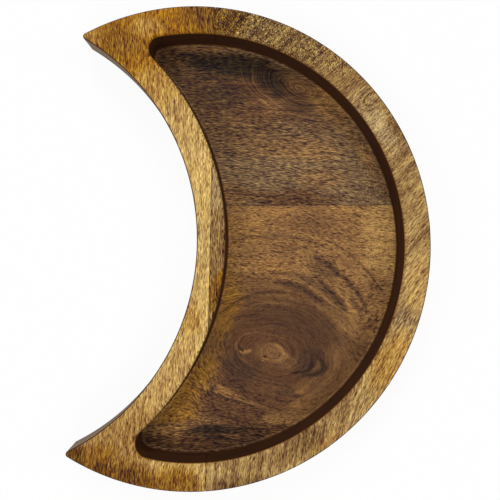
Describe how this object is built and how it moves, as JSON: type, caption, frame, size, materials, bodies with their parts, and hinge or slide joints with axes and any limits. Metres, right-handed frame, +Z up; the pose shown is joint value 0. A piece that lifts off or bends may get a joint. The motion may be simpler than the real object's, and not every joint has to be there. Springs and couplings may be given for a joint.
{
  "type": "crescent moon tray",
  "caption": "Crescent moon wooden tray: a routed well with a dark cross-grained floor, a raised golden rim, pointed horns and eased edges.",
  "frame": {"origin": "below the middle of the tray's rectangular extent, on the plane that it rests on", "axes": "+Z up out of the well, +Y along the line from the lower horn to the upper horn, +X from the hollow side to the round side"},
  "size_m": [0.2242, 0.3046, 0.0253],
  "materials": {
    "rim_board_left_wood": "satin lacquer over open-grained hardwood",
    "rim_board_right_wood": "satin lacquer over open-grained hardwood",
    "rim_strip_inner_wood": "satin lacquer over open-grained hardwood",
    "base_plank_upper_wood": "satin lacquer over open-grained hardwood",
    "base_plank_middle_wood": "satin lacquer over open-grained hardwood",
    "base_plank_lower_wood": "satin lacquer over open-grained hardwood"
  },
  "bodies": {
    "root": {"rim_board_left": "rim_board_left_wood", "rim_board_right": "rim_board_right_wood", "rim_strip_inner": "rim_strip_inner_wood", "base_plank_upper": "base_plank_upper_wood", "base_plank_middle": "base_plank_middle_wood", "base_plank_lower": "base_plank_lower_wood"}
  },
  "joints": []
}
